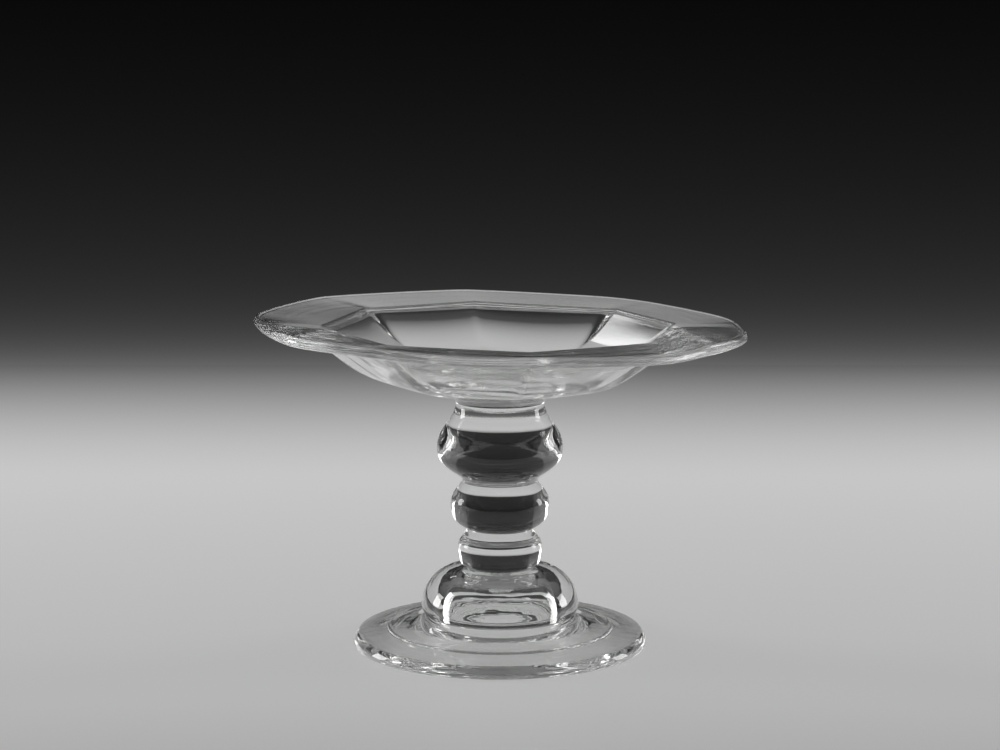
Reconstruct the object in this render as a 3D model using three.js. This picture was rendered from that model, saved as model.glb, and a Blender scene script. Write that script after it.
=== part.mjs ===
// A clear glass patch stand: an eight-panelled pan on a knopped stem and a domed, stepped foot.
// Millimetres, +Z up. The origin is on the table, under the middle of the foot.
// Each gather and bit of glass that the maker laid on hot is one closed solid. They were fused
// where they meet, so neighbours seat face to face on level seams and nothing moves.
import * as THREE from 'three';

// Stack heights, from the table up. Each is one piece's own height.
const footSeatHeight = 5.9;      // table to the seam under the dome
const domeHeight = 9.1;
const lowerKnopHeight = 7.7;
const middleKnopHeight = 9.3;
const upperKnopHeight = 14.3;
const mereseHeight = 3.3;
const panHeight = 13.55;         // seat to the crest of the lip

// Pan: radii are taken at the ridges between the panels.
const rimRadius = 47.5;          // over the lip
const lipThickness = 1.7;
const flangeFall = 1.05;         // how far the flange falls from the lip to the well
const flangeCrease = 0.3;        // dip of the flange and the lip between two ridges
const wellRadius = 34.2;         // at the top edge of the well
const wellEdgeRounding = 0.5;
const wellSideRun = 5.4;         // bend that shapes the panels: run from their top edge
const wellSideRise = 3.7;        // and rise from their foot
const panelFootRadius = 24.8;    // where the panels start to curve up
const panelFootRise = 0.35;      // lift of the well's lines where they cross a ridge
const floorRadius = 14.5;        // flat middle of the well
const floorThickness = 4.2;
const underCornerReach = 2.0;    // the corner under the flange: out from the edge of the well
const underCornerDrop = 3.25;    // and down from the crest of the lip
const underCornerFillet = 0.6;
const bowlRadius = 29.8;         // bends that shape the outside of the well
const bowlRise = 5.6;            // seat to that bend
const kneeRadius = 27.7;
const kneeRise = 2.6;
const seatFlareRun = 8.6;        // how the outside sweeps in to the seat
const seatFlareRise = 0.8;
const lipLean = 0.026;           // rise per mm towards -X: the pan was set on a little askew
const wellLean = 0.014;

// Ridges of the pan: bearings in degrees, clockwise from the back. The lip was worked free of the
// mould, so its corners drifted from the well's and stand a little in or out.
const wellRidges = [-98, -52, -9, 41, 81, 126, 171, 216];
const rimCorners = [-88, -51, -9, 30, 72, 99, 141, 187, 233];
const rimReaches = [1, 0.996, 1.012, 1.012, 0.998, 1.005, 1.012, 0.975, 0.995];
const rimFlatness = 0.45;        // 1 draws the lip straight from corner to corner, 0 as arcs
const rimRounding = 10;          // degrees each side of a corner that the reheating rounded
const rimShift = { x: -0.08, y: -0.77 };

// Seam radii, each shared by the two pieces that meet there.
const panSeatRadius = 10.4;
const mereseBaseRadius = 8.7;
const upperWaistRadius = 7.3;
const lowerWaistRadius = 6.2;
const stemFootRadius = 6.0;
const domeBaseRadius = 14.4;
const hollowWallRadius = 11.0;

// Knops: belly radius, and the height of the belly above the knop's own base.
const upperBellyRadius = 12.18;
const upperBellyHeight = 6.5;
const middleBellyRadius = 9.55;
const middleBellyHeight = 4.95;
const lowerBellyRadius = 8.15;
const lowerBellyHeight = 4.2;
const mereseNeckRadius = 8.6;
const mereseNeckHeight = 1.0;

// Bends of the knops, as shares of the way between the seam and the belly.
const upperBend = {
  baseSwell: -0.06, baseLift: 0.25, bellyDrop: 0.64, bellyRise: 0.47, topSwell: 0.16, topDrop: 0.36,
};
const middleBend = {
  baseSwell: 0.55, baseLift: 0.18, bellyDrop: 0.65, bellyRise: 0.46, topSwell: 0.47, topDrop: 0.37,
};
const lowerBend = {
  baseSwell: 0.65, baseLift: 0.04, bellyDrop: 0.75, bellyRise: 0.45, topSwell: 0.44, topDrop: 0.5,
};
const mereseBend = { flare: 0.3, flareHeight: 0.55 };

// Dome of the foot.
const domeRadius = 15.25;
const domeBellyHeight = 1.7;     // widest part above the dome's base
const domeTopRadius = 8.2;       // flat that carries the stem
const domeShoulder = 0.55;       // 0 is a cone above the belly, 1 is square-shouldered

// Foot plate.
const footRadius = 28.6;
const footEdgeHeight = 2.4;      // top of the rounded edge
const footShoulderRadius = 27.5;
const terraceRadius = 21.8;
const terraceHeight = 3.1;
const terraceStep = 0.55;
const terraceFillet = 1.6;       // sweep from the terrace up to the dome
const restingOuterRadius = 28.0;
const restingInnerRadius = 26.6;

// Hollow under the foot: shallow under the plate, then pushed up into the dome.
const underPlateHeight = 2.2;
const underPlateRadius = 13.5;   // inside this the hollow turns up
const underRingRun = 2.0;        // how the hollow leaves the resting ring
const hollowWallFoot = 4.4;      // height at which its wall stands upright
const ceilingHeight = 11.7;
const ceilingRadius = 6.5;       // flat middle of the ceiling

// Scar of the rod that held the foot while the pan was worked, on the ceiling of the hollow.
const scarRadius = 2.4;
const scarThickness = 2.2;
const scarRaggedness = 0.4;

// Level seams, bottom to top.
const domeSeam = footSeatHeight;
const lowerKnopSeam = domeSeam + domeHeight;
const middleKnopSeam = lowerKnopSeam + lowerKnopHeight;
const upperKnopSeam = middleKnopSeam + middleKnopHeight;
const mereseSeam = upperKnopSeam + upperKnopHeight;
const panSeam = mereseSeam + mereseHeight;
const lipCrest = panSeam + panHeight;

// Fineness of the meshes.
const stem = { sides: 48, curveSteps: 6 };
const dome = { sides: 48, curveSteps: 5 };
const plate = { sides: 64, curveSteps: 5 };
const stepsPerPanel = 8;
const scarSides = 20;

const { degToRad, lerp } = THREE.MathUtils;
const glass = (color, roughness) => new THREE.MeshStandardMaterial({
  color, roughness, metalness: 0, transparent: true, opacity: 0.35,
});
const clearGlass = () => glass(0xeef0f0, 0.03);
const brokenGlass = () => glass(0xe2e4e3, 0.45);

function solid(name, geometry, material) {
  const mesh = new THREE.Mesh(geometry, material);
  mesh.name = name;
  return mesh;
}

// Turned piece: a half section in (radius, height), with the glass on the left of the way it is
// drawn, spun about +Z.
function turned(section, { sides, curveSteps }) {
  const geometry = new THREE.LatheGeometry(section.getPoints(curveSteps), sides);
  geometry.rotateX(Math.PI / 2);
  return geometry;
}

function skin(positions, index) {
  const geometry = new THREE.BufferGeometry();
  geometry.setAttribute('position', new THREE.Float32BufferAttribute(positions, 3));
  geometry.setIndex(index);
  geometry.computeVertexNormals();
  return geometry;
}

// Bottom seam, out to the belly, in to the top seam.
function knopSection(base, height, radii, bellyHeight, bend) {
  const belly = base + bellyHeight;
  const top = base + height;
  return new THREE.Path()
    .moveTo(0, base)
    .lineTo(radii.below, base)
    .bezierCurveTo(
      lerp(radii.below, radii.belly, bend.baseSwell), lerp(base, belly, bend.baseLift),
      radii.belly, lerp(belly, base, bend.bellyDrop),
      radii.belly, belly)
    .bezierCurveTo(
      radii.belly, lerp(belly, top, bend.bellyRise),
      lerp(radii.above, radii.belly, bend.topSwell), lerp(top, belly, bend.topDrop),
      radii.above, top)
    .lineTo(0, top);
}

function makeFootPlate() {
  const stepTop = terraceHeight + terraceStep;
  const section = new THREE.Path()
    .moveTo(hollowWallRadius, domeSeam)
    .lineTo(hollowWallRadius, hollowWallFoot)
    .bezierCurveTo(
      hollowWallRadius, lerp(hollowWallFoot, underPlateHeight, 0.6),
      lerp(underPlateRadius, hollowWallRadius, 0.6), underPlateHeight,
      underPlateRadius, underPlateHeight)
    .bezierCurveTo(
      lerp(underPlateRadius, restingInnerRadius, 0.4), underPlateHeight,
      restingInnerRadius - underRingRun, 0.25 * underPlateHeight,
      restingInnerRadius, 0)
    .lineTo(restingOuterRadius, 0)
    .bezierCurveTo(
      footRadius, 0,
      footRadius + 0.1, 0.5 * footEdgeHeight,
      footShoulderRadius, footEdgeHeight)
    .lineTo(terraceRadius + 0.7 * terraceStep, terraceHeight)
    .quadraticCurveTo(
      terraceRadius, terraceHeight,
      terraceRadius, terraceHeight + 0.6 * terraceStep)
    .quadraticCurveTo(
      terraceRadius - 0.2, stepTop,
      terraceRadius - 1.2, stepTop)
    .quadraticCurveTo(
      domeBaseRadius + terraceFillet, stepTop + 0.5,
      domeBaseRadius, domeSeam)
    .lineTo(hollowWallRadius, domeSeam);
  return solid('foot_plate', turned(section, plate), clearGlass());
}

function makeFootDome() {
  const belly = domeSeam + domeBellyHeight;
  const section = new THREE.Path()
    .moveTo(0, ceilingHeight)
    .lineTo(ceilingRadius, ceilingHeight)
    .bezierCurveTo(
      lerp(ceilingRadius, hollowWallRadius, 0.7), ceilingHeight,
      hollowWallRadius, lerp(ceilingHeight, domeSeam, 0.35),
      hollowWallRadius, domeSeam)
    .lineTo(domeBaseRadius, domeSeam)
    .quadraticCurveTo(domeRadius, domeSeam + 0.35 * domeBellyHeight, domeRadius, belly)
    .bezierCurveTo(
      domeRadius, lerp(belly, lowerKnopSeam, domeShoulder),
      lerp(domeTopRadius, domeRadius, domeShoulder), lowerKnopSeam,
      domeTopRadius, lowerKnopSeam)
    .lineTo(0, lowerKnopSeam);
  return solid('foot_dome', turned(section, dome), clearGlass());
}

function makeLowerKnop() {
  const radii = { below: stemFootRadius, belly: lowerBellyRadius, above: lowerWaistRadius };
  const section = knopSection(lowerKnopSeam, lowerKnopHeight, radii, lowerBellyHeight, lowerBend);
  return solid('lower_knop', turned(section, stem), clearGlass());
}

function makeMiddleKnop() {
  const radii = { below: lowerWaistRadius, belly: middleBellyRadius, above: upperWaistRadius };
  const section = knopSection(
    middleKnopSeam, middleKnopHeight, radii, middleBellyHeight, middleBend);
  return solid('middle_knop', turned(section, stem), clearGlass());
}

function makeUpperKnop() {
  const radii = { below: upperWaistRadius, belly: upperBellyRadius, above: mereseBaseRadius };
  const section = knopSection(upperKnopSeam, upperKnopHeight, radii, upperBellyHeight, upperBend);
  return solid('upper_knop', turned(section, stem), clearGlass());
}

// Merese: the small flared pad between the stem and the pan.
function makePanMerese() {
  const neck = mereseSeam + mereseNeckHeight;
  const section = new THREE.Path()
    .moveTo(0, mereseSeam)
    .lineTo(mereseBaseRadius, mereseSeam)
    .lineTo(mereseNeckRadius, neck)
    .quadraticCurveTo(
      mereseNeckRadius + mereseBend.flare, lerp(neck, panSeam, mereseBend.flareHeight),
      panSeatRadius, panSeam)
    .lineTo(0, panSeam);
  return solid('pan_merese', turned(section, stem), clearGlass());
}

// Radius at a bearing, as a share of the ridge's, of panels drawn from ridge to ridge.
function outlineAt(bearing, ridges, reaches, flatness) {
  const turnFrom = (start, end) => THREE.MathUtils.euclideanModulo(end - start, 360);
  let panel = 0;
  ridges.forEach((ridge, number) => {
    if (turnFrom(ridge, bearing) < turnFrom(ridges[panel], bearing)) panel = number;
  });
  const next = (panel + 1) % ridges.length;
  const before = degToRad(turnFrom(ridges[panel], bearing));
  const width = degToRad(turnFrom(ridges[panel], ridges[next]));
  const near = reaches[panel];
  const far = reaches[next];
  const chord = near * far * Math.sin(width)
    / (near * Math.sin(before) + far * Math.sin(width - before));
  return lerp(lerp(near, far, before / width), chord, flatness);
}

const wellAt = (bearing) => outlineAt(bearing, wellRidges, wellRidges.map(() => 1), 1);

// The lip's corners are rounded: each radius is a weighted mean over the bearings about it.
function rimAt(bearing) {
  const samples = 8;
  let sum = 0;
  let weights = 0;
  for (let step = 1 - samples; step < samples; step += 1) {
    const weight = 1 + Math.cos(Math.PI * step / samples);
    sum += weight * outlineAt(
      bearing + rimRounding * step / samples, rimCorners, rimReaches, rimFlatness);
    weights += weight;
  }
  return sum / weights;
}

// Points after the first along a Bezier curve of any degree.
function bendPoints(points, steps) {
  const found = [];
  for (let step = 1; step <= steps; step += 1) {
    let left = points;
    while (left.length > 1) {
      left = left.slice(1).map((point, number) => left[number].clone().lerp(point, step / steps));
    }
    found.push(left[0]);
  }
  return found;
}

// The pan's section at a ridge, from the middle of the well over the lip to the seat. Each ring
// has a radius, a height, how far it follows the panels, how much of the rim's own outline it
// takes, how far it dips between the ridges and how much it leans.
function panRings() {
  const at = (radius, height) => new THREE.Vector2(radius, height);
  const floor = panSeam + floorThickness;
  const edge = lipCrest - flangeFall;
  const rings = [
    { radius: 0.5 * floorRadius, height: floor, panels: 0.3, rim: 0, dip: 0, lean: wellLean },
    { radius: floorRadius, height: floor, panels: 0.7, rim: 0, dip: 0, lean: wellLean },
  ];
  const follow = (points, steps, end) => {
    const { panels = 1, rim = [0, 0], dip = [0, 0], lean = wellLean, ease = 1 } = end;
    const start = rings[rings.length - 1];
    bendPoints(points, steps).forEach((point, number) => {
      const share = (number + 1) / steps;
      rings.push({
        radius: point.x, height: point.y,
        panels: lerp(start.panels, panels, share ** ease),
        rim: lerp(rim[0], rim[1], share),
        dip: lerp(dip[0], dip[1], share),
        lean: lerp(start.lean, lean, share ** ease),
      });
    });
  };

  // Inside: flat floor, panels, rounded edge and flange.
  const panelFoot = floor + 0.3 + panelFootRise;
  const wellStart = at(floorRadius + 1.5, panelFoot);
  const wallTop = at(wellRadius - 0.8 * wellEdgeRounding, edge - 1.1 * wellEdgeRounding);
  const flangeStart = at(wellRadius + wellEdgeRounding, edge + 0.1);
  follow([at(floorRadius, floor), at(floorRadius + 0.7, floor + 0.1), wellStart], 2,
    { dip: [0, panelFootRise] });
  follow([wellStart, at(panelFootRadius, panelFoot), at(wellRadius - wellSideRun, panelFoot + wellSideRise),
    wallTop], 7, { dip: [panelFootRise, 0] });
  follow([wallTop, at(wellRadius - 0.1, edge - 0.05), flangeStart], 3,
    { dip: [0, 0.5 * flangeCrease] });

  // Rounded lip.
  const lipRadius = lipThickness / 2;
  const lipMiddle = at(rimRadius - lipRadius, lipCrest - lipRadius);
  const lipStart = degToRad(115);
  const lipEnd = degToRad(-90);
  const lipSteps = 7;
  const onLip = (step) => {
    const angle = lerp(lipStart, lipEnd, step / lipSteps);
    return at(lipMiddle.x + lipRadius * Math.cos(angle), lipMiddle.y + lipRadius * Math.sin(angle));
  };
  follow([flangeStart, onLip(0)], 3,
    { rim: [0, 1], dip: [0.5 * flangeCrease, flangeCrease], lean: lipLean });
  for (let step = 1; step <= lipSteps; step += 1) {
    const spot = onLip(step);
    rings.push({
      radius: spot.x, height: spot.y, panels: 1, rim: 1, dip: flangeCrease, lean: lipLean,
    });
  }

  // Underside: flange, corner, bowl and seat.
  const corner = at(wellRadius + underCornerReach, lipCrest - underCornerDrop);
  const bowl = at(bowlRadius, panSeam + bowlRise);
  const towards = (end) => corner.clone().add(
    end.clone().sub(corner).setLength(underCornerFillet));
  const filletEnd = towards(bowl);
  follow([onLip(lipSteps), towards(onLip(lipSteps))], 3, { rim: [1, 0], dip: [flangeCrease, 0] });
  follow([towards(onLip(lipSteps)), corner, filletEnd], 2, {});
  const knee = at(kneeRadius, panSeam + kneeRise);
  const seatFlare = at(panSeatRadius + seatFlareRun, panSeam + seatFlareRise);
  follow([filletEnd, bowl, knee, seatFlare, at(panSeatRadius, panSeam)], 8,
    { panels: 0, lean: 0, ease: 3 });
  return rings;
}

function makePan() {
  const bearings = wellRidges.flatMap((ridge, number) => {
    const next = wellRidges[number + 1] ?? wellRidges[0] + 360;
    return Array.from({ length: stepsPerPanel },
      (_, step) => lerp(ridge, next, step / stepsPerPanel));
  }).reverse();
  const sides = bearings.map((bearing) => ({
    angle: degToRad(90 - bearing), well: wellAt(bearing), rim: rimAt(bearing),
  }));
  const flattest = Math.min(...sides.map((side) => side.well));
  const rings = panRings();
  const positions = [];
  for (const ring of rings) {
    for (const side of sides) {
      const outline = lerp(side.well, side.rim, ring.rim);
      const radius = ring.radius * lerp(1, outline, ring.panels);
      const dip = ring.dip * (1 - side.well) / (1 - flattest);
      const x = radius * Math.cos(side.angle) + ring.rim * rimShift.x;
      const y = radius * Math.sin(side.angle) + ring.rim * rimShift.y;
      positions.push(x, y, ring.height - dip - ring.lean * x);
    }
  }
  const floorMiddle = positions.length / 3;
  positions.push(0, 0, rings[0].height);
  const seatMiddle = floorMiddle + 1;
  positions.push(0, 0, panSeam);

  const index = [];
  const at = (ring, side) => ring * sides.length + (side % sides.length);
  const last = rings.length - 1;
  for (let side = 0; side < sides.length; side += 1) {
    index.push(floorMiddle, at(0, side), at(0, side + 1));
    for (let ring = 0; ring < last; ring += 1) {
      index.push(at(ring, side), at(ring + 1, side), at(ring + 1, side + 1));
      index.push(at(ring, side), at(ring + 1, side + 1), at(ring, side + 1));
    }
    index.push(at(last, side + 1), at(last, side), seatMiddle);
  }
  return solid('pan', skin(positions, index), clearGlass());
}

// Scar: the ragged lump left where the rod was cracked off.
function makePontilScar() {
  const positions = [0, 0, ceilingHeight, 0, 0, ceilingHeight - 0.75 * scarThickness];
  const ragged = (angle) => scarRadius + scarRaggedness
    * (0.6 * Math.sin(3 * angle + 1) + 0.4 * Math.sin(7 * angle));
  for (let side = 0; side < scarSides; side += 1) {
    const angle = (side / scarSides) * 2 * Math.PI;
    const radius = ragged(angle);
    const rough = 1 + 0.25 * Math.sin(5 * angle + 2);
    const spots = [[radius, 0], [0.8 * radius, 0.8 * scarThickness * rough],
      [0.4 * radius, scarThickness]];
    for (const [reach, depth] of spots) {
      positions.push(reach * Math.cos(angle), reach * Math.sin(angle), ceilingHeight - depth);
    }
  }
  const index = [];
  const at = (ring, side) => 2 + (side % scarSides) * 3 + ring;
  for (let side = 0; side < scarSides; side += 1) {
    index.push(0, at(0, side), at(0, side + 1));
    for (let ring = 0; ring < 2; ring += 1) {
      index.push(at(ring, side), at(ring + 1, side), at(ring + 1, side + 1));
      index.push(at(ring, side), at(ring + 1, side + 1), at(ring, side + 1));
    }
    index.push(at(2, side + 1), at(2, side), 1);
  }
  return solid('pontil_scar', skin(positions, index), brokenGlass());
}

const group = new THREE.Group();
group.add(
  makePontilScar(),
  makeFootPlate(),
  makeFootDome(),
  makeLowerKnop(),
  makeMiddleKnop(),
  makeUpperKnop(),
  makePanMerese(),
  makePan(),
);
export default group;
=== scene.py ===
# Clear glass patch stand: an eight-panelled pan on a knopped stem and a domed, stepped foot.
# Sizes in the dictionaries are millimetres and degrees, and shares are plain numbers; the scene
# itself is in metres, +Z up.
import math

import bpy
import numpy as np
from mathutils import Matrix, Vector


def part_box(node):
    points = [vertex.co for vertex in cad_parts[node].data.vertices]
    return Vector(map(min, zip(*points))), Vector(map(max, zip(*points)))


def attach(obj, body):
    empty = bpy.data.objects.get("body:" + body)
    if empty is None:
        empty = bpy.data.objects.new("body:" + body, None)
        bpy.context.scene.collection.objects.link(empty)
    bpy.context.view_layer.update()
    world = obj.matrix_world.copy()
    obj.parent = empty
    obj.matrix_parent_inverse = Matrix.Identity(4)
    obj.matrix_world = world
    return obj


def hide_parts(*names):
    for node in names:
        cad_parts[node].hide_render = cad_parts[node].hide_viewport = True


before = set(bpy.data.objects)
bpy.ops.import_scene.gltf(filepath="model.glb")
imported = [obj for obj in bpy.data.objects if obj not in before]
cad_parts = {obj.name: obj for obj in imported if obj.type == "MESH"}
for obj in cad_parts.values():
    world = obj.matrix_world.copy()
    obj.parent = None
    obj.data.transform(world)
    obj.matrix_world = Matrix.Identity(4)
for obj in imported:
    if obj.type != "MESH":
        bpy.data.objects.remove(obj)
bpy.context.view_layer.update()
millimetre = 0.001
print("frame loaded:", len(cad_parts), "pieces of glass")


def linearColour(hexColour):
    # "#rrggbb" in sRGB to the linear values that the shaders take
    parts = [int(hexColour[i:i + 2], 16) / 255 for i in (1, 3, 5)]
    return [p / 12.92 if p <= 0.04045 else ((p + 0.055) / 1.055) ** 2.4 for p in parts] + [1.0]


def addNode(tree, kind, links=None, **settings):
    # links: socket name or number -> a value, a socket, or a node whose first output is taken
    node = tree.nodes.new(kind)
    for name, value in settings.items():
        setattr(node, name, value)
    for socket, source in (links or {}).items():
        if isinstance(source, bpy.types.Node):
            source = source.outputs[0]
        if isinstance(source, bpy.types.NodeSocket):
            tree.links.new(source, node.inputs[socket])
        else:
            node.inputs[socket].default_value = source
    return node


def newMaterial(name):
    material = bpy.data.materials.new(name)
    material.use_nodes = True
    material.node_tree.nodes.clear()
    return material, material.node_tree


# Fused joint: where two hot gathers met, the glass runs on without a break, so the level seam
# inside it can't be seen. The faces there let everything through.
def fusedJointMaterial():
    material, tree = newMaterial("fusedJoint")
    clear = addNode(tree, "ShaderNodeBsdfTransparent", {"Color": (1, 1, 1, 1)})
    addNode(tree, "ShaderNodeOutputMaterial", {"Surface": clear})
    return material


# Lead glass, fire polished: clear with a faint grey, and brighter in its reflections than window
# glass (index 1.56). Turning it against the tools left faint rings about its axis, and the mould
# and the reheating left it slightly uneven. Those marks are full near the axis, fade to "calm"
# by "marksWithin" of it, and come back to "flangeMarks" beyond "marksBeyond".
def leadGlassMaterial(name, look):
    material, tree = newMaterial(name)
    place = addNode(tree, "ShaderNodeTexCoord").outputs["Object"]
    apart = addNode(tree, "ShaderNodeSeparateXYZ", {"Vector": place})
    level = addNode(tree, "ShaderNodeVectorMath", {0: place, 1: (1, 1, 0)}, operation="MULTIPLY")
    fromAxis = addNode(tree, "ShaderNodeVectorMath", {0: level}, operation="LENGTH")
    radius = fromAxis.outputs["Value"]
    turn = addNode(tree, "ShaderNodeMath", {
        0: apart.outputs["Y"], 1: apart.outputs["X"]}, operation="ARCTAN2")

    # noise drawn out along the circles about the axis, and noise that is alike in all directions
    ringScale = 1 / (look["ringWidth"] * millimetre)
    along = addNode(tree, "ShaderNodeCombineXYZ", {
        "X": addNode(tree, "ShaderNodeMath", {0: radius, 1: ringScale}, operation="MULTIPLY"),
        "Y": addNode(tree, "ShaderNodeMath", {0: turn, 1: look["ringBreaks"]},
                     operation="MULTIPLY"),
        "Z": addNode(tree, "ShaderNodeMath", {0: apart.outputs["Z"], 1: ringScale},
                     operation="MULTIPLY")})
    rings = addNode(tree, "ShaderNodeTexNoise", {"Vector": along, "Scale": 1.0, "Detail": 1.5})
    mottle = addNode(tree, "ShaderNodeTexNoise", {
        "Vector": place, "Scale": 1 / (look["mottleSize"] * millimetre), "Detail": 1.0})

    inner = addNode(tree, "ShaderNodeMapRange", {
        "Value": radius, "From Min": look["fadeFrom"] * look["marksWithin"] * millimetre,
        "From Max": look["marksWithin"] * millimetre, "To Min": 1.0, "To Max": look["calm"]})
    outer = addNode(tree, "ShaderNodeMapRange", {
        "Value": radius, "From Min": look["marksBeyond"] * millimetre,
        "From Max": (look["marksBeyond"] + look["returnWidth"]) * millimetre,
        "To Max": look["flangeMarks"]})
    strength = addNode(tree, "ShaderNodeMath", {0: inner, 1: outer}, operation="ADD",
                       use_clamp=True)
    uneven = addNode(tree, "ShaderNodeBump", {
        "Height": mottle.outputs["Fac"], "Strength": strength,
        "Distance": look["mottleDepth"] * millimetre})
    tooled = addNode(tree, "ShaderNodeBump", {
        "Height": rings.outputs["Fac"], "Strength": strength,
        "Distance": look["ringDepth"] * millimetre, "Normal": uneven})
    glass = addNode(tree, "ShaderNodeBsdfPrincipled", {
        "Base Color": linearColour(look["colour"]), "Roughness": look["roughness"],
        "IOR": look["ior"], "Transmission Weight": 1.0, "Normal": tooled})
    addNode(tree, "ShaderNodeOutputMaterial", {"Surface": glass})
    return material


fusedJoint = fusedJointMaterial()
polished = {
    "colour": "#fafbfa", "roughness": 0.0, "ior": 1.56,
    "marksWithin": 50, "fadeFrom": 0.75, "calm": 1,
    "marksBeyond": 50, "returnWidth": 2, "flangeMarks": 0,
}
finishOf = {
    # the pan: blown into a mould, a hint softer in its polish, calm but for its floor and flange
    "pan_glass": leadGlassMaterial("mouldedLeadGlass", {
        **polished, "roughness": 0.06, "ringWidth": 1.6, "ringDepth": 0.025, "ringBreaks": 1,
        "mottleSize": 6, "mottleDepth": 0.01, "marksWithin": 24, "calm": 0.05,
        "marksBeyond": 36, "flangeMarks": 1}),
    # the stem: shaped with the tools while it turned
    "stem_glass": leadGlassMaterial("tooledLeadGlass", {
        **polished, "ringWidth": 0.9, "ringDepth": 0.006, "ringBreaks": 1.2,
        "mottleSize": 4, "mottleDepth": 0.02}),
    # the foot: pressed out wide while it turned, which left deeper rings
    "foot_glass": leadGlassMaterial("turnedLeadGlass", {
        **polished, "ringWidth": 1.2, "ringDepth": 0.02, "ringBreaks": 2,
        "mottleSize": 4, "mottleDepth": 0.03}),
    # the scar: broken off the rod, frosty and craggy
    "broken_glass": leadGlassMaterial("brokenLeadGlass", {
        **polished, "colour": "#f1f2f1", "roughness": 0.2, "ringWidth": 2, "ringDepth": 0.02,
        "ringBreaks": 9, "mottleSize": 0.5, "mottleDepth": 0.15}),
}


# Turned gather: two bends, from the base out to the belly and from the belly in to the top,
# spun about the stem's axis. Flat faces close it, and the part of each that is fused to its
# neighbour takes the joint material.
gatherInputs = {
    "NodeSocketFloat": ("Base Height", "Base Radius", "Belly Height", "Belly Radius", "Height",
                        "Top Radius", "Base Swell", "Base Lift", "Belly Drop", "Belly Rise",
                        "Top Swell", "Top Drop", "Lower Joint", "Upper Joint"),
    "NodeSocketInt": ("Sides", "Steps", "Bend Points"),
    "NodeSocketMaterial": ("Glass", "Joint"),
}
gatherLimits = {
    "weldReach": 0.001,   # points nearer than this become one
    "seamAngle": 20,      # edges sharper than this stay crisp
    "levelSlack": 0.002,  # faces this near to a seam's height lie on it
}


def gatherBends(tree, given):
    # radii and heights of the handles, each a share of the way from one size to another
    handle = {}
    for name, start, end in (("Base Swell", given["Base Radius"], given["Belly Radius"]),
                             ("Base Lift", 0.0, given["Belly Height"]),
                             ("Belly Drop", given["Belly Height"], 0.0),
                             ("Belly Rise", given["Belly Height"], given["Height"]),
                             ("Top Swell", given["Top Radius"], given["Belly Radius"]),
                             ("Top Drop", given["Height"], given["Belly Height"])):
        way = addNode(tree, "ShaderNodeMath", {0: end, 1: start}, operation="SUBTRACT")
        handle[name] = addNode(tree, "ShaderNodeMath", {0: way, 1: given[name], 2: start},
                               operation="MULTIPLY_ADD")

    # the two bends, as curves in radius (X) and height above the base (Z)
    spot = {}
    for name, radius, height in (("base", given["Base Radius"], 0.0),
                                 ("overBase", handle["Base Swell"], handle["Base Lift"]),
                                 ("underBelly", given["Belly Radius"], handle["Belly Drop"]),
                                 ("belly", given["Belly Radius"], given["Belly Height"]),
                                 ("overBelly", given["Belly Radius"], handle["Belly Rise"]),
                                 ("underTop", handle["Top Swell"], handle["Top Drop"]),
                                 ("top", given["Top Radius"], given["Height"])):
        spot[name] = addNode(tree, "ShaderNodeCombineXYZ", {"X": radius, "Z": height})
    bends = []
    for names in (("base", "overBase", "underBelly", "belly"),
                  ("belly", "overBelly", "underTop", "top")):
        start, startHandle, endHandle, end = (spot[name] for name in names)
        bends.append(addNode(tree, "GeometryNodeCurvePrimitiveBezierSegment", {
            "Resolution": given["Bend Points"], "Start": start, "Start Handle": startHandle,
            "End Handle": endHandle, "End": end}, mode="POSITION"))
    return bends


def gatherSection(tree, given, bends, row):
    # radius and height of each row, from its place on the bends
    onLower = addNode(tree, "ShaderNodeMath", {0: row, 1: 2.0}, operation="SUBTRACT")
    onUpper = addNode(tree, "ShaderNodeMath", {0: onLower, 1: given["Steps"]},
                      operation="SUBTRACT")
    spots = []
    for bend, stepsDone in zip(bends, (onLower, onUpper)):
        share = addNode(tree, "ShaderNodeMath", {0: stepsDone, 1: given["Steps"]},
                        operation="DIVIDE", use_clamp=True)
        sample = addNode(tree, "GeometryNodeSampleCurve", {"Curves": bend, "Factor": share},
                         mode="FACTOR")
        spots.append(sample.outputs["Position"])
    isUpper = addNode(tree, "FunctionNodeCompare", {0: onUpper, 1: 0.0},
                      data_type="FLOAT", operation="GREATER_THAN")
    spot = addNode(tree, "GeometryNodeSwitch", {
        "Switch": isUpper, "False": spots[0], "True": spots[1]}, input_type="VECTOR")
    section = addNode(tree, "ShaderNodeSeparateXYZ", {"Vector": spot})
    return section.outputs["X"], section.outputs["Z"]


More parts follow.
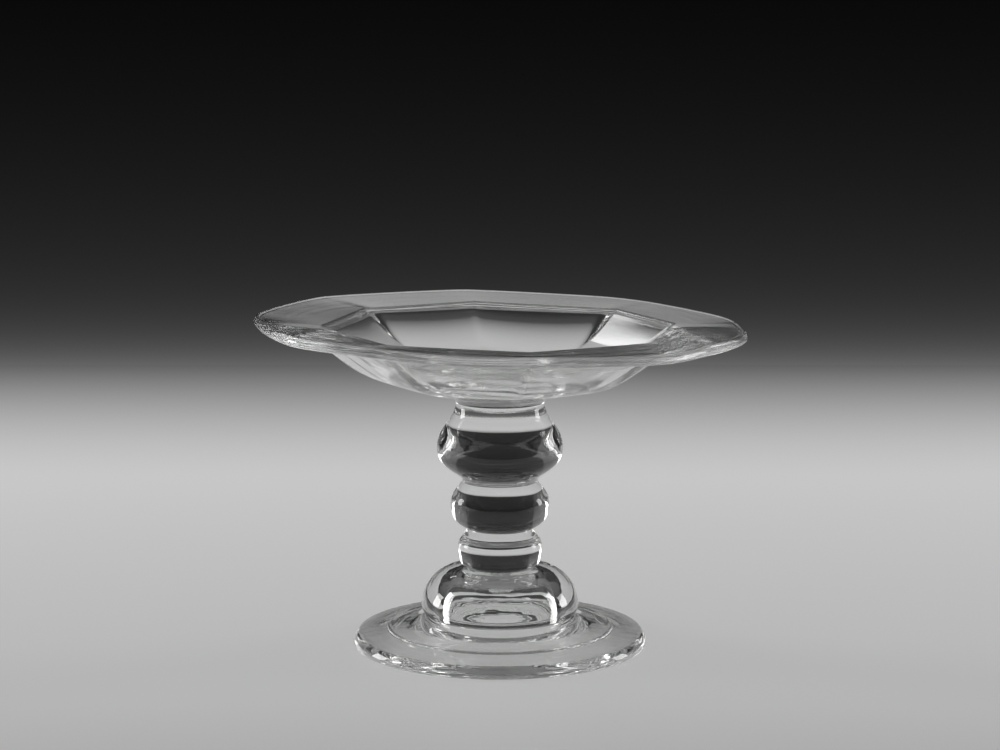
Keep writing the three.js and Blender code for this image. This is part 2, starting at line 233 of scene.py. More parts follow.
def gatherMesh(tree, given):
    # a grid, one column for each side; its rows are pole, joint, bends, joint, pole
    rows = addNode(tree, "ShaderNodeMath", {0: given["Steps"], 1: 2.0, 2: 5.0},
                   operation="MULTIPLY_ADD")
    columns = addNode(tree, "ShaderNodeMath", {0: given["Sides"], 1: 1.0}, operation="ADD")
    sheet = addNode(tree, "GeometryNodeMeshGrid", {"Vertices X": columns, "Vertices Y": rows})
    index = addNode(tree, "GeometryNodeInputIndex")
    row = addNode(tree, "ShaderNodeMath", {0: index, 1: rows}, operation="MODULO")
    columnShare = addNode(tree, "ShaderNodeMath", {0: index, 1: rows}, operation="DIVIDE")
    column = addNode(tree, "ShaderNodeMath", {0: columnShare}, operation="FLOOR")
    turn = addNode(tree, "ShaderNodeMath", {0: column, 1: given["Sides"]}, operation="DIVIDE")
    angle = addNode(tree, "ShaderNodeMath", {0: turn, 1: math.tau}, operation="MULTIPLY")
    radius, height = gatherSection(tree, given, gatherBends(tree, given), row)

    # radius of the joint rings and the poles, in place of the section's
    lastRow = addNode(tree, "ShaderNodeMath", {0: rows, 1: 1.0}, operation="SUBTRACT")
    upperJointRow = addNode(tree, "ShaderNodeMath", {0: rows, 1: 2.0}, operation="SUBTRACT")
    for where, ringRadius in ((1.0, given["Lower Joint"]), (upperJointRow, given["Upper Joint"]),
                              (0.0, 0.0), (lastRow, 0.0)):
        isRow = addNode(tree, "FunctionNodeCompare", {0: row, 1: where, "Epsilon": 0.1},
                        data_type="FLOAT", operation="EQUAL")
        radius = addNode(tree, "GeometryNodeSwitch", {
            "Switch": isRow, "False": radius, "True": ringRadius}, input_type="FLOAT")

    # spun about the axis and welded along its start
    cosine = addNode(tree, "ShaderNodeMath", {0: angle}, operation="COSINE")
    sine = addNode(tree, "ShaderNodeMath", {0: angle}, operation="SINE")
    spun = addNode(tree, "ShaderNodeCombineXYZ", {
        "X": addNode(tree, "ShaderNodeMath", {0: radius, 1: cosine}, operation="MULTIPLY"),
        "Y": addNode(tree, "ShaderNodeMath", {0: radius, 1: sine}, operation="MULTIPLY"),
        "Z": addNode(tree, "ShaderNodeMath", {0: height, 1: given["Base Height"]},
                     operation="ADD")})
    shaped = addNode(tree, "GeometryNodeSetPosition", {"Geometry": sheet, "Position": spun})
    return addNode(tree, "GeometryNodeMergeByDistance", {
        "Geometry": shaped, "Distance": gatherLimits["weldReach"] * millimetre})


def smoothedGather(tree, mesh):
    # smooth all over, with crisp seams
    smooth = addNode(tree, "GeometryNodeSetShadeSmooth", {
        "Geometry": mesh, "Shade Smooth": True}, domain="FACE")
    edgeAngle = addNode(tree, "GeometryNodeInputMeshEdgeAngle")
    isSeam = addNode(tree, "FunctionNodeCompare", {
        0: edgeAngle, 1: math.radians(gatherLimits["seamAngle"])},
        data_type="FLOAT", operation="GREATER_THAN")
    crisp = addNode(tree, "GeometryNodeSetShadeSmooth", {
        "Geometry": smooth, "Selection": isSeam, "Shade Smooth": False}, domain="EDGE")
    return addNode(tree, "GeometryNodeRealizeInstances", {"Geometry": crisp})


def glazedGather(tree, given, mesh):
    # glass all over, then the joint material on the middle of each flat face
    position = addNode(tree, "GeometryNodeInputPosition")
    apart = addNode(tree, "ShaderNodeSeparateXYZ", {"Vector": position})
    level = addNode(tree, "ShaderNodeVectorMath", {0: position, 1: (1, 1, 0)},
                    operation="MULTIPLY")
    fromAxis = addNode(tree, "ShaderNodeVectorMath", {0: level}, operation="LENGTH")
    top = addNode(tree, "ShaderNodeMath", {0: given["Base Height"], 1: given["Height"]},
                  operation="ADD")
    glazed = addNode(tree, "GeometryNodeSetMaterial", {
        "Geometry": mesh, "Material": given["Glass"]})
    for seam, reach in ((given["Base Height"], given["Lower Joint"]), (top, given["Upper Joint"])):
        onSeam = addNode(tree, "FunctionNodeCompare", {
            0: apart.outputs["Z"], 1: seam, "Epsilon": gatherLimits["levelSlack"] * millimetre},
            data_type="FLOAT", operation="EQUAL")
        inJoint = addNode(tree, "FunctionNodeCompare", {0: fromAxis.outputs["Value"], 1: reach},
                          data_type="FLOAT", operation="LESS_THAN")
        isJoint = addNode(tree, "FunctionNodeBooleanMath", {0: onSeam, 1: inJoint},
                          operation="AND")
        glazed = addNode(tree, "GeometryNodeSetMaterial", {
            "Geometry": glazed, "Selection": isJoint, "Material": given["Joint"]})
    return glazed


def turnedGatherTree():
    tree = bpy.data.node_groups.new("turnedGather", "GeometryNodeTree")
    tree.is_modifier = True
    tree.interface.new_socket("Mesh", in_out="OUTPUT", socket_type="NodeSocketGeometry")
    for kind, names in gatherInputs.items():
        for name in names:
            tree.interface.new_socket(name, in_out="INPUT", socket_type=kind)
    given = addNode(tree, "NodeGroupInput").outputs
    mesh = smoothedGather(tree, gatherMesh(tree, given))
    addNode(tree, "NodeGroupOutput", {"Mesh": glazedGather(tree, given, mesh)})
    return tree


# Shapes of the turned gathers. Heights of the seams come from the frame. Swell, lift, drop and
# rise set the handles of the bends, as shares of the way from one radius or height to the next.
turnedPieces = {
    "lower_knop": {
        "Base Radius": 6.0, "Belly Height": 4.2, "Belly Radius": 8.15, "Top Radius": 6.2,
        "Base Swell": 0.65, "Base Lift": 0.04, "Belly Drop": 0.75, "Belly Rise": 0.45,
        "Top Swell": 0.44, "Top Drop": 0.5, "Lower Joint": 6.0, "Upper Joint": 6.2},
    "middle_knop": {
        "Base Radius": 6.2, "Belly Height": 4.95, "Belly Radius": 9.55, "Top Radius": 7.3,
        "Base Swell": 0.55, "Base Lift": 0.18, "Belly Drop": 0.65, "Belly Rise": 0.46,
        "Top Swell": 0.47, "Top Drop": 0.37, "Lower Joint": 6.2, "Upper Joint": 7.3},
    "upper_knop": {
        "Base Radius": 7.3, "Belly Height": 6.5, "Belly Radius": 12.18, "Top Radius": 8.7,
        "Base Swell": -0.06, "Base Lift": 0.25, "Belly Drop": 0.64, "Belly Rise": 0.47,
        "Top Swell": 0.16, "Top Drop": 0.36, "Lower Joint": 7.3, "Upper Joint": 8.7},
    "pan_merese": {
        "Base Radius": 8.7, "Belly Height": 1.0, "Belly Radius": 8.6, "Top Radius": 10.4,
        "Base Swell": 0.7, "Base Lift": 0.3, "Belly Drop": 0.3, "Belly Rise": 0.4,
        "Top Swell": 0.6, "Top Drop": 0.3, "Lower Joint": 8.7, "Upper Joint": 10.4},
}
shareNames = ("Base Swell", "Base Lift", "Belly Drop", "Belly Rise", "Top Swell", "Top Drop")
turnedResolution = {"Sides": 192, "Steps": 40, "Bend Points": 256}


def pieceName(node):
    first, *rest = node.split("_")
    return first + "".join(word.capitalize() for word in rest) + "Glass"


def finishPiece(piece, node):
    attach(piece, "root")
    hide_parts(node)


def makeTurnedPiece(tree, node, sizes):
    low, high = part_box(node)
    values = {"Base Height": low.z, "Height": high.z - low.z,
              "Glass": finishOf["stem_glass"], "Joint": fusedJoint, **turnedResolution}
    for name, size in sizes.items():
        values[name] = size if name in shareNames else size * millimetre
    carrier = bpy.data.objects.new("carrier", bpy.data.meshes.new("carrier"))
    bpy.context.scene.collection.objects.link(carrier)
    modifier = carrier.modifiers.new("turnedGather", "NODES")
    modifier.node_group = tree
    for socket in tree.interface.items_tree:
        if socket.in_out == "INPUT":
            modifier[socket.identifier] = values[socket.name]
    bpy.context.view_layer.update()
    mesh = bpy.data.meshes.new_from_object(
        carrier.evaluated_get(bpy.context.evaluated_depsgraph_get()))
    carrier.modifiers.remove(modifier)
    bpy.data.objects.remove(carrier)
    mesh.name = pieceName(node)
    piece = bpy.data.objects.new(pieceName(node), mesh)
    bpy.context.scene.collection.objects.link(piece)
    finishPiece(piece, node)


gatherTree = turnedGatherTree()
for node, sizes in turnedPieces.items():
    makeTurnedPiece(gatherTree, node, sizes)
print("stem turned:", len(turnedPieces), "gathers")


def bezierPoints(points, steps):
    # points after the first along a Bezier curve of any degree
    found = []
    for step in range(1, steps + 1):
        share = step / steps
        left = [np.array(point, float) for point in points]
        while len(left) > 1:
            left = [a + (b - a) * share for a, b in zip(left, left[1:])]
        found.append(left[0])
    return found


def roundAngles(sides):
    return np.arange(sides) / sides * math.tau


def ringAt(reach, height, angles):
    reach = reach * np.ones(len(angles))
    return np.column_stack([reach * np.cos(angles), reach * np.sin(angles),
                            height * np.ones(len(angles))])


# A piece skinned over rings of points, each ring anticlockwise from above, from the top, out and
# round to the underside. Both ends close on their middles, or on each other if the piece has a
# hole down its axis. Spans named as joints are fused.
def skinRings(name, rings, glass, jointSpans, seamAngle, holed=False):
    sides = len(rings[0])
    points = np.vstack(rings)
    lastRing = len(rings) - 1
    if not holed:
        points = np.vstack([points, rings[0].mean(axis=0), rings[-1].mean(axis=0)])
    topMiddle, baseMiddle = len(rings) * sides, len(rings) * sides + 1
    faces, spans = [], []
    for side in range(sides):
        following = (side + 1) % sides
        for ring in range(lastRing + holed):
            a, b = ring * sides, (ring + 1) % len(rings) * sides
            faces.append((a + side, b + side, b + following, a + following))
            spans.append(ring + 1)
        if not holed:
            faces.append((topMiddle, side, following))
            spans.append(0)
            faces.append((lastRing * sides + following, lastRing * sides + side, baseMiddle))
            spans.append(lastRing + 1)
    mesh = bpy.data.meshes.new(name)
    mesh.from_pydata((points * millimetre).tolist(), [], faces)
    mesh.materials.append(glass)
    mesh.materials.append(fusedJoint)
    mesh.polygons.foreach_set("material_index", [int(span in jointSpans) for span in spans])
    mesh.shade_smooth()
    mesh.set_sharp_from_angle(angle=math.radians(seamAngle))
    mesh.validate()
    piece = bpy.data.objects.new(name, mesh)
    bpy.context.scene.collection.objects.link(piece)
    return piece


# Foot: a dome on a stepped plate, with a hollow pushed up under the middle of both so that the
# broken scar inside it stands clear of the table. Crown and tuck are the handles of the dome's
# two bends. An ease is the share of a bend that a handle takes, and the riser's are shares of
# the terrace's step.
footSizes = {
    "sides": 256, "seamAngle": 25,
    "domeTop": 15.0, "domeTopRadius": 8.2, "stemJoint": 6.0,
    "crownRadius": 12.1, "crownHeight": 11.7, "bellyRadius": 15.25, "bellyHeight": 7.6,
    "tuckHeight": 6.9, "tuckEndRadius": 14.95, "tuckEndHeight": 6.3,
    "seatHeight": 5.9, "seatRadius": 14.4, "fillet": 1.6, "filletRise": 0.5, "filletEnd": 1.2,
    "terraceRadius": 21.8, "terraceHeight": 3.1, "terraceStep": 0.55, "terraceRounding": 0.2,
    "riserTop": 0.6, "riserRun": 0.7,
    "shoulderRadius": 27.5, "edgeHeight": 2.4, "edgeBulge": 0.1, "radius": 28.6,
    "restOuter": 28.0, "restInner": 26.6, "underRun": 2, "underHeight": 2.2, "underRadius": 13.5,
    "wallRadius": 11.0, "wallFoot": 4.4, "wallFootEase": 0.6, "wallEase": 0.65,
    "ceiling": 11.7, "ceilingRadius": 6.5, "ceilingEase": 0.7,
}

# Scar: a ragged patch under the hollow's ceiling, whose crags wind round toward its middle.
# Waves of its edge are a count, a phase and a share of the raggedness; rings are shares of the
# radius.
scarSizes = {
    "sides": 96, "seamAngle": 12, "radius": 2.4, "thickness": 2.2, "raggedness": 0.4,
    "edgeWaves": ((3, 1, 0.6), (7, 0, 0.4)),
    "rings": (0.99, 0.95, 0.88, 0.8, 0.7, 0.58, 0.46, 0.34, 0.22, 0.1),
    "crags": 6, "winding": 9, "edgeSteepness": 2.5, "evenDepth": 0.6, "cragDepth": 0.4, "seed": 11,
}


def scarEdge(angles):
    # ragged outline of the broken patch, in millimetres from the axis
    waves = sum(share * np.sin(count * angles + phase)
                for count, phase, share in scarSizes["edgeWaves"])
    return scarSizes["radius"] + scarSizes["raggedness"] * waves


def makeFootDome():
    size = footSizes
    angles = roundAngles(size["sides"])
    section = [(0.5 * size["stemJoint"], size["domeTop"]), (size["stemJoint"], size["domeTop"]),
               (size["domeTopRadius"], size["domeTop"])]
    section += bezierPoints([
        section[-1], (size["crownRadius"], size["domeTop"]),
        (size["bellyRadius"], size["crownHeight"]),
        (size["bellyRadius"], size["bellyHeight"])], steps=36)
    section += bezierPoints([
        section[-1], (size["bellyRadius"], size["tuckHeight"]),
        (size["tuckEndRadius"], size["tuckEndHeight"]),
        (size["seatRadius"], size["seatHeight"])], steps=12)
    seat = len(section)
    section.append((size["wallRadius"], size["seatHeight"]))
    rise = size["ceiling"] - size["seatHeight"]
    reach = size["wallRadius"] - size["ceilingRadius"]
    section += bezierPoints([
        section[-1], (size["wallRadius"], size["seatHeight"] + size["wallEase"] * rise),
        (size["ceilingRadius"] + size["ceilingEase"] * reach, size["ceiling"]),
        (size["ceilingRadius"], size["ceiling"])], steps=28)
    rings = [ringAt(radius, height, angles) for radius, height in section]
    edge = scarEdge(angles)
    rings += [ringAt(edge, size["ceiling"], angles), ringAt(0.5 * edge, size["ceiling"], angles)]
    last = len(rings)
    piece = skinRings("footDomeGlass", rings, finishOf["foot_glass"],
                      {0, 1, seat, last - 1, last}, size["seamAngle"])
    finishPiece(piece, "foot_dome")


def makeFootPlate():
    size = footSizes
    angles = roundAngles(size["sides"])
    terraceTop = size["terraceHeight"] + size["terraceStep"]
    section = [(size["wallRadius"], size["seatHeight"]), (size["seatRadius"], size["seatHeight"])]
    section += bezierPoints([
        section[-1], (size["seatRadius"] + size["fillet"], terraceTop + size["filletRise"]),
        (size["terraceRadius"] - size["filletEnd"], terraceTop)], steps=24)
    section += bezierPoints([
        section[-1], (size["terraceRadius"] - size["terraceRounding"], terraceTop),
        (size["terraceRadius"], size["terraceHeight"] + size["riserTop"] * size["terraceStep"])],
        steps=8)
    section += bezierPoints([
        section[-1], (size["terraceRadius"], size["terraceHeight"]),
        (size["terraceRadius"] + size["riserRun"] * size["terraceStep"], size["terraceHeight"])],
        steps=8)
    section += bezierPoints([
        section[-1], (size["shoulderRadius"], size["edgeHeight"])], steps=12)
    section += bezierPoints([
        section[-1], (size["radius"] + size["edgeBulge"], 0.5 * size["edgeHeight"]),
        (size["radius"], 0), (size["restOuter"], 0)], steps=16)
    section += bezierPoints([section[-1], (size["restInner"], 0)], steps=4)
    section += bezierPoints([
        section[-1], (size["restInner"] - size["underRun"], 0),
        (size["underRadius"], size["underHeight"]),
        (size["underRadius"], size["underHeight"])], steps=30)
    reach = size["underRadius"] - size["wallRadius"]
    rise = size["wallFoot"] - size["underHeight"]
    section += bezierPoints([
        section[-1], (size["underRadius"] - size["wallFootEase"] * reach, size["underHeight"]),
        (size["wallRadius"], size["wallFoot"] - size["wallFootEase"] * rise),
        (size["wallRadius"], size["wallFoot"])], steps=20)
    rings = [ringAt(radius, height, angles) for radius, height in section]
    piece = skinRings("footPlateGlass", rings, finishOf["foot_glass"], {1}, size["seamAngle"],
                      holed=True)
    finishPiece(piece, "foot_plate")


def makePontilScar():
    size = scarSizes
    ceiling = footSizes["ceiling"]
    angles = roundAngles(size["sides"])
    chance = np.random.default_rng(size["seed"])
    edge = scarEdge(angles)
    phases = chance.uniform(0, math.tau, (size["crags"], 2))[:, 0]
    rings = [ringAt(0.5 * edge, ceiling, angles), ringAt(edge, ceiling, angles)]
    for share in size["rings"]:
        crag = sum(np.sin((k + 2) * angles + phases[k] + size["winding"] * share * (k + 1))
                   for k in range(size["crags"])) / size["crags"]
        depth = size["thickness"] * min(1, (1 - share) * size["edgeSteepness"]) * (
            size["evenDepth"] + size["cragDepth"] * crag)
        rings.append(ringAt(share * edge, ceiling - depth, angles))
    piece = skinRings("pontilScarGlass", rings, finishOf["broken_glass"], {0, 1},
                      size["seamAngle"])
    finishPiece(piece, "pontil_scar")


makeFootDome()
makeFootPlate()
makePontilScar()
print("foot and scar made")


# Pan: radii are at the ridges between the panels, heights above the table. Bearings are clockwise
# from the back. The lip was worked free of the mould, so its corners drifted from the well's.
# The outside's ridges are softer and turned a little, so that the two faces of a panel stay
# parallel. A lean is the fall for each millimetre toward the right.
panSizes = {
    "sides": 320, "seamAngle": 40, "wellLean": 0.014, "lipLean": 0.026,
    "wellRidges": (-98, -51, -9, 42, 81, 126, 171, 216), "ridgeRounding": 0.6,
    "outsideRidges": (-102, -47, -9, 37.5, 85.5, 126, 171, 216), "outsideRounding": 1.2,
    "rimRidges": (-88, -51, -9, 30, 72, 99, 141, 187, 233), "rimRounding": 5,
    "rimReaches": (1.0, 0.996, 1.012, 1.012, 0.998, 1.005, 1.012, 0.975, 0.995),
    "rimFlatness": 0.45, "rimShift": (-0.08, -0.77),
    "crest": 63.15, "rimRadius": 47.43, "lipRadius": 0.92, "lipFrom": 115, "lipTurn": 205,
    "flangeFall": 0.93, "flangeCrease": 0.15,
    # the edge between well and flange, where the run and the fall are shares of the rounding
    "wellRadius": 34.04, "wellRounding": 0.5, "edgeRun": 0.8, "edgeFall": 1.1, "edgeRise": 0.1,
    "edgeHandle": (-0.1, -0.05),
    "wellSideRun": 5.38, "wellSideRise": 3.78,
    "panelFootRadius": 25.02, "panelFootRise": 0.35, "panelFootStep": 0.3,
    "floorRadius": 14.5, "floorThickness": 4.2, "floorOctagon": (0.3, 0.7),
    "floorEdgeRun": 1.5, "floorEdgeHandle": (0.7, 0.1),
    "cornerRadius": 35.65, "cornerHeight": 59.7, "cornerFillet": 0.43,
    "bowlRadius": 29.42, "bowlHeight": 55.05, "kneeRadius": 27.6, "kneeHeight": 51.98,
    "flareRadius": 19.0, "flareRise": 0.8, "seat": 49.6, "seatRadius": 10.4,
}


def panelOutline(bearings, reaches, flatness, rounding):
    # radius at each side as a share of the ridge's, for panels drawn straight between the ridges
    # where the flatness is 1 and as arcs where it is 0
    fineness = 8
    fine = fineness * panSizes["sides"]
    angle = np.arange(fine) / fine * 360
    ridges = np.array([(90 - bearing) % 360 for bearing in bearings])
    order = np.argsort(ridges)
    ridges, reach = ridges[order], np.array(reaches)[order]
    ridges = np.append(ridges, ridges[0] + 360)
    reach = np.append(reach, reach[0])
    turned = np.where(angle < ridges[0], angle + 360, angle)
    panel = np.searchsorted(ridges, turned, side="right") - 1
    before = np.radians(turned - ridges[panel])
    after = np.radians(ridges[panel + 1] - turned)
    near, far = reach[panel], reach[panel + 1]
    chord = near * far * np.sin(before + after) / (near * np.sin(before) + far * np.sin(after))
    arc = near + (far - near) * before / (before + after)
    outline = arc + (chord - arc) * flatness
    width = round(rounding / 360 * fine)  # reheating rounds each ridge a little
    spread = np.hanning(4 * width + 3)
    padded = np.concatenate([outline[-2 * width - 1:], outline, outline[:2 * width + 1]])
    return np.convolve(padded, spread / spread.sum(), mode="valid")[::fineness]


def lipPoints():
    # the rounded lip, from the top of the flange over to its underside
    size = panSizes
    steps = 28
    middleRadius = size["rimRadius"] - size["lipRadius"]
    middleHeight = size["crest"] - size["lipRadius"]
    points = []
    for step in range(steps + 1):
        angle = math.radians(size["lipFrom"] - size["lipTurn"] * step / steps)
        points.append((middleRadius + size["lipRadius"] * math.cos(angle),
                       middleHeight + size["lipRadius"] * math.sin(angle)))
    return points


def panSection():
    # (radius, height, octagon share, share of the rim's outline, climb at the ridges, lean) from
    # the middle of the well, over the lip, to the seat
    size = panSizes
    floor = size["seat"] + size["floorThickness"]
    panelFoot = floor + size["panelFootStep"] + size["panelFootRise"]
    edge = size["crest"] - size["flangeFall"]
    crease = size["flangeCrease"]
    rows = [(size["floorRadius"] * share, floor, octagon, 0, 0, size["wellLean"])
            for share, octagon in zip((0.5, 1), size["floorOctagon"])]

    def follow(points, steps, octagon, rim=(0, 0), climb=(0, 0), ease=1, lean=size["wellLean"]):
        # rows along a bend; octagon share and lean run on from the last row's to those given
        _, _, octagonBefore, _, _, leanBefore = rows[-1]
        for number, (radius, height) in enumerate(bezierPoints(points, steps), 1):
            share = number / steps
            eased = share ** ease
            rows.append((radius, height, octagonBefore + (octagon - octagonBefore) * eased,
                         rim[0] + (rim[1] - rim[0]) * share,
                         climb[0] + (climb[1] - climb[0]) * share,
                         leanBefore + (lean - leanBefore) * eased))

    # the well, from its floor up the panels and over the edge to the flange
    alongFloor, aboveFloor = size["floorEdgeHandle"]
    wellStart = (size["floorRadius"] + size["floorEdgeRun"], panelFoot)
    follow([(size["floorRadius"], floor),
            (size["floorRadius"] + alongFloor, floor + aboveFloor), wellStart],
           steps=6, octagon=1, climb=(0, size["panelFootRise"]))
    wallTop = (size["wellRadius"] - size["edgeRun"] * size["wellRounding"],
               edge - size["edgeFall"] * size["wellRounding"])
    follow([wellStart, (size["panelFootRadius"], panelFoot),
            (size["wellRadius"] - size["wellSideRun"], panelFoot + size["wellSideRise"]), wallTop],
           steps=40, octagon=1, climb=(size["panelFootRise"], 0))
    alongEdge, aboveEdge = size["edgeHandle"]
    flangeStart = (size["wellRadius"] + size["wellRounding"], edge + size["edgeRise"])
    follow([wallTop, (size["wellRadius"] + alongEdge, edge + aboveEdge), flangeStart],
           steps=10, octagon=1, climb=(0, 0.5 * crease))

    # the flange and the lip
    lip = lipPoints()
    follow([flangeStart, lip[0]], steps=24, octagon=1, rim=(0, 1),
           climb=(0.5 * crease, crease), lean=size["lipLean"])
    for radius, height in lip[1:]:
        rows.append((radius, height, 1, 1, crease, size["lipLean"]))

    # back under the flange to its corner, and down the outside of the well to the seat
    corner = np.array((size["cornerRadius"], size["cornerHeight"]))
    bowl = np.array((size["bowlRadius"], size["bowlHeight"]))
    toLip, toBowl = lip[-1] - corner, bowl - corner
    filletStart = corner + toLip / np.hypot(*toLip) * size["cornerFillet"]
    filletEnd = corner + toBowl / np.hypot(*toBowl) * size["cornerFillet"]
    follow([lip[-1], filletStart], steps=24, octagon=1, rim=(1, 0), climb=(crease, 0))
    follow([filletStart, corner, filletEnd], steps=10, octagon=1)
    follow([filletEnd, bowl, (size["kneeRadius"], size["kneeHeight"]),
            (size["flareRadius"], size["seat"] + size["flareRise"]),
            (size["seatRadius"], size["seat"])], steps=48, octagon=0, ease=3, lean=0)
    rows.append((0.5 * size["seatRadius"], size["seat"], 0, 0, 0, 0))
    return rows


def makePan():
    size = panSizes
    angles = roundAngles(size["sides"])
    even = [1.0] * len(size["wellRidges"])
    well = panelOutline(size["wellRidges"], even, 1.0, size["ridgeRounding"])
    outside = panelOutline(size["outsideRidges"], even, 1.0, size["outsideRounding"])
    rim = panelOutline(size["rimRidges"], size["rimReaches"], size["rimFlatness"],
                       size["rimRounding"])
    ridge = (well - well.min()) / (1 - well.min())
    rings = []
    for radius, height, octagon, rimShare, climb, lean in panSection():
        if rimShare == 1:
            well = outside  # past the lip, the softer outside
        outline = well + (rim - well) * rimShare
        reach = radius * (1 + octagon * (outline - 1))
        x = reach * np.cos(angles) + rimShare * size["rimShift"][0]
        y = reach * np.sin(angles) + rimShare * size["rimShift"][1]
        rings.append(np.column_stack([x, y, height + climb * (ridge - 1) - lean * x]))
    last = len(rings)
    piece = skinRings("panGlass", rings, finishOf["pan_glass"], {last - 1, last},
                      size["seamAngle"])
    finishPiece(piece, "pan")


makePan()
print("pan made")


def shadeRamp(tree, value, shades, unit):
    # shades: (place, shade) pairs in rising order, with the places in the unit given
    first, last = shades[0][0], shades[-1][0]
    along = addNode(tree, "ShaderNodeMapRange", {
        "Value": value, "From Min": first * unit, "From Max": last * unit})
    ramp = addNode(tree, "ShaderNodeValToRGB", {"Fac": along.outputs["Result"]})
    elements = ramp.color_ramp.elements
    elements[0].position, elements[1].position = 0, 1
    for place, _ in shades[1:-1]:
        elements.new((place - first) / (last - first))
    for element, (_, shade) in zip(elements, shades):
        element.color = linearColour(shade)
    return ramp.outputs["Color"]


def makeSheet(name, corners, material):
    mesh = bpy.data.meshes.new(name)
    mesh.from_pydata([[length * millimetre for length in corner] for corner in corners],
                     [], [(0, 1, 2, 3)])
    mesh.materials.append(material)
    sheet = bpy.data.objects.new(name, mesh)
    bpy.context.scene.collection.objects.link(sheet)


# Table: a wide sheet lit from below, drawn as a glowing sheet with a painted pool of light:
# brightest behind the stand, dimmer toward the front, and fading out smoothly toward its back
# edge. Its painted shades and its painted fade go by the place from front to back.
table = {
    "halfWidth": 1500, "front": -170, "back": 348, "height": -0.02,
    "glow": 0.62, "roughness": 0.45, "ior": 1.3,
    "shades": [(-170, "#a0a0a0"), (-45, "#c5c5c5"), (168, "#d9d9d9")],
    "fadeFrom": 150, "fadeTo": 430,
}


# Milky acrylic, cast with a satin face: a glow of even strength with only a faint, soft
# reflection. The same painted shade, painted light that falls off toward the front and the back,
# dims the glow from below and the light thrown back.
def milkyAcrylicMaterial():
    material, tree = newMaterial("milkyAcrylic")
    place = addNode(tree, "ShaderNodeTexCoord").outputs["Object"]
    split = addNode(tree, "ShaderNodeSeparateXYZ", {"Vector": place})
    # painted pool of light: the shade rises from the front to behind the stand, and the fade below
    # dims it toward the back edge
    shade = shadeRamp(tree, split.outputs["Y"], table["shades"], millimetre)
    fade = addNode(tree, "ShaderNodeMapRange", {
        "Value": split.outputs["Y"], "From Min": table["fadeFrom"] * millimetre,
        "From Max": table["fadeTo"] * millimetre, "To Min": 1.0, "To Max": 0.0},
        interpolation_type="SMOOTHSTEP")
    colour = addNode(tree, "ShaderNodeVectorMath", {0: shade, "Scale": fade}, operation="SCALE")
    sheet = addNode(tree, "ShaderNodeBsdfPrincipled", {
        "Base Color": colour, "Roughness": table["roughness"], "IOR": table["ior"],
        "Emission Color": colour, "Emission Strength": table["glow"]})
    addNode(tree, "ShaderNodeOutputMaterial", {"Surface": sheet})
    return material


def makeTable():
    across, height = table["halfWidth"], table["height"]
    front, back = table["front"], table["back"]
    makeSheet("tableTop", [(-across, front, height), (across, front, height),
                           (across, back, height), (-across, back, height)],
              milkyAcrylicMaterial())


# Board: stands far behind the table, whose back edge hides it below the horizon. Each fade is
# a painted shade at the horizon and the height over which it dies to about a third: painted
# light from the table on the board, and the painted blur of the table's edge. The shades are
# the same painted light from the table, lighter low down, as the glass sees it.
board = {
    "distance": 1000, "halfWidth": 700, "foot": -700, "top": 430, "horizon": -103,
    "fades": [("#393939", 78), ("#565656", 13)],
    "shades": [(-120, "#404040"), (-96, "#3c3c3c"), (-76, "#1c1c1c"), (100, "#0e0e0e")],
}


# Black foam board, matt: a glow with no reflection, painted near black, and painted greyer low
# down as painted light from the table. The camera sees that painted light as two soft fades, as
# a long lens shows it, and the glass sees the plain painted shades.
def foamBoardMaterial():
    material, tree = newMaterial("blackFoamBoard")
    place = addNode(tree, "ShaderNodeTexCoord").outputs["Object"]
    split = addNode(tree, "ShaderNodeSeparateXYZ", {"Vector": place})
    # painted light from the table, lighter low on the board, as the glass sees it
    plain = shadeRamp(tree, split.outputs["Z"], board["shades"], millimetre)
    # painted light from the table and the painted blur of its edge, as the camera sees them
    soft = 0.0
    for shade, reach in board["fades"]:
        fall = addNode(tree, "ShaderNodeMath", {
            0: split.outputs["Z"], 1: -1 / (reach * millimetre), 2: board["horizon"] / reach},
            operation="MULTIPLY_ADD")
        fade = addNode(tree, "ShaderNodeMath", {0: fall}, operation="EXPONENT", use_clamp=True)
        soft = addNode(tree, "ShaderNodeMath", {0: fade, 1: linearColour(shade)[0], 2: soft},
                       operation="MULTIPLY_ADD")
    path = addNode(tree, "ShaderNodeLightPath")
    colour = addNode(tree, "ShaderNodeMix", {
        "Factor": path.outputs["Is Camera Ray"], "A": plain, "B": soft},
        data_type="RGBA")
    # the board's painted glow: its near black and the painted light from the table
    paintedBoardGlow = addNode(tree, "ShaderNodeEmission", {
        "Color": [out for out in colour.outputs if out.type == "RGBA"][0], "Strength": 1.0})
    addNode(tree, "ShaderNodeOutputMaterial", {"Surface": paintedBoardGlow})
    return material


def makeBoard():
    across, away = board["halfWidth"], board["distance"]
    foot, top = board["foot"], board["top"]
    makeSheet("darkBoard", [(-across, away, foot), (across, away, foot),
                            (across, away, top), (-across, away, top)], foamBoardMaterial())


# Lamps: a strip box at each side a little behind the stand, and a small box high behind it on
# the left. Each has a place, the point that it aims at, its width and height, and a radiance.
lamps = {
    "leftStripBox": ((-763, 240, 150), (0, 0, 30), (220, 330), 6.5),
    "rightStripBox": ((763, 240, 150), (0, 0, 30), (220, 330), 5.2),
    "farSoftBox": ((-320, 770, 573), (22, 16, 58), (146, 36), 4),
}


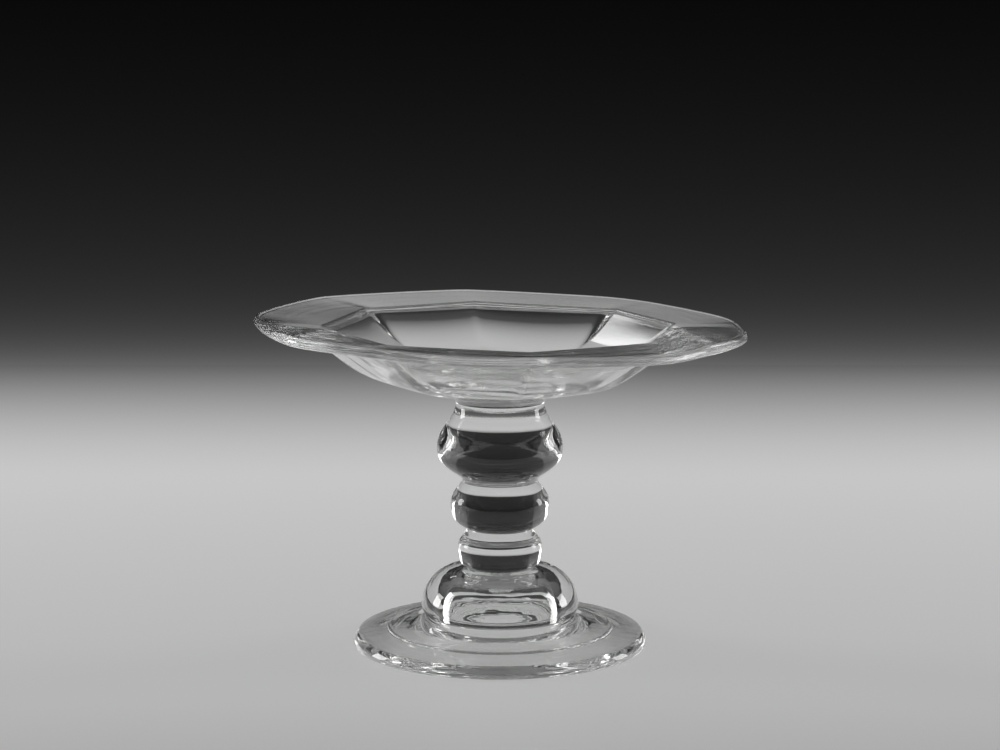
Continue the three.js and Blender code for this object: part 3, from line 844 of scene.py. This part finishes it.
def addSoftBox(name, place, aim, size, radiance):
    lamp = bpy.data.lights.new(name, "AREA")
    lamp.shape = "RECTANGLE"
    lamp.size, lamp.size_y = (length * millimetre for length in size)
    lamp.energy = radiance * math.pi * lamp.size * lamp.size_y
    box = bpy.data.objects.new(name, lamp)
    spot = [length * millimetre for length in place]
    direction = np.array(aim) * millimetre - np.array(spot)
    level = math.hypot(direction[0], direction[1])
    box.location = spot
    box.rotation_euler = (math.atan2(level, -direction[2]), 0,
                          math.atan2(direction[1], direction[0]) - math.pi / 2)
    bpy.context.scene.collection.objects.link(box)


# Room: dim, and darker below. Its shades go by the height of the direction looked in, where 0 is
# level and 1 is straight up.
roomShades = [(-0.1, "#202020"), (0.0, "#303030"), (0.5, "#6c6c6c"), (1.0, "#6c6c6c")]


def makeRoom():
    world = bpy.data.worlds.new("dimRoom")
    world.use_nodes = True
    tree = world.node_tree
    tree.nodes.clear()
    outlook = addNode(tree, "ShaderNodeTexCoord").outputs["Generated"]
    climb = addNode(tree, "ShaderNodeSeparateXYZ", {"Vector": outlook})
    glow = addNode(tree, "ShaderNodeBackground", {
        "Color": shadeRamp(tree, climb.outputs["Z"], roomShades, 1), "Strength": 1.0})
    addNode(tree, "ShaderNodeOutputWorld", {"Surface": glow})
    bpy.context.scene.world = world


makeTable()
makeBoard()
for name, (place, aim, size, radiance) in lamps.items():
    addSoftBox(name, place, aim, size, radiance)
makeRoom()
print("studio lit")

# Camera at the photograph's angle: a long lens that looks down a little
viewpoint = {"distance": 524.70, "height": 136.86, "tilt": 9.12, "lens": 99.59, "sensor": 36}


def addCamera():
    lens = bpy.data.cameras.new("viewCamera")
    lens.sensor_fit = "HORIZONTAL"
    lens.sensor_width = viewpoint["sensor"]
    lens.lens = viewpoint["lens"]
    lens.clip_start, lens.clip_end = 0.01, 30  # metres
    camera = bpy.data.objects.new("viewCamera", lens)
    camera.location = (0, -viewpoint["distance"] * millimetre, viewpoint["height"] * millimetre)
    camera.rotation_euler = (math.radians(90 - viewpoint["tilt"]), 0, 0)
    bpy.context.scene.collection.objects.link(camera)
    bpy.context.scene.camera = camera


addCamera()
scene = bpy.context.scene
scene.view_settings.view_transform = "Standard"
scene.cycles.max_bounces = 64  # light crosses many walls of glass
scene.cycles.transmission_bounces = 64
scene.cycles.glossy_bounces = 32
scene.cycles.transparent_max_bounces = 32
print("camera set")
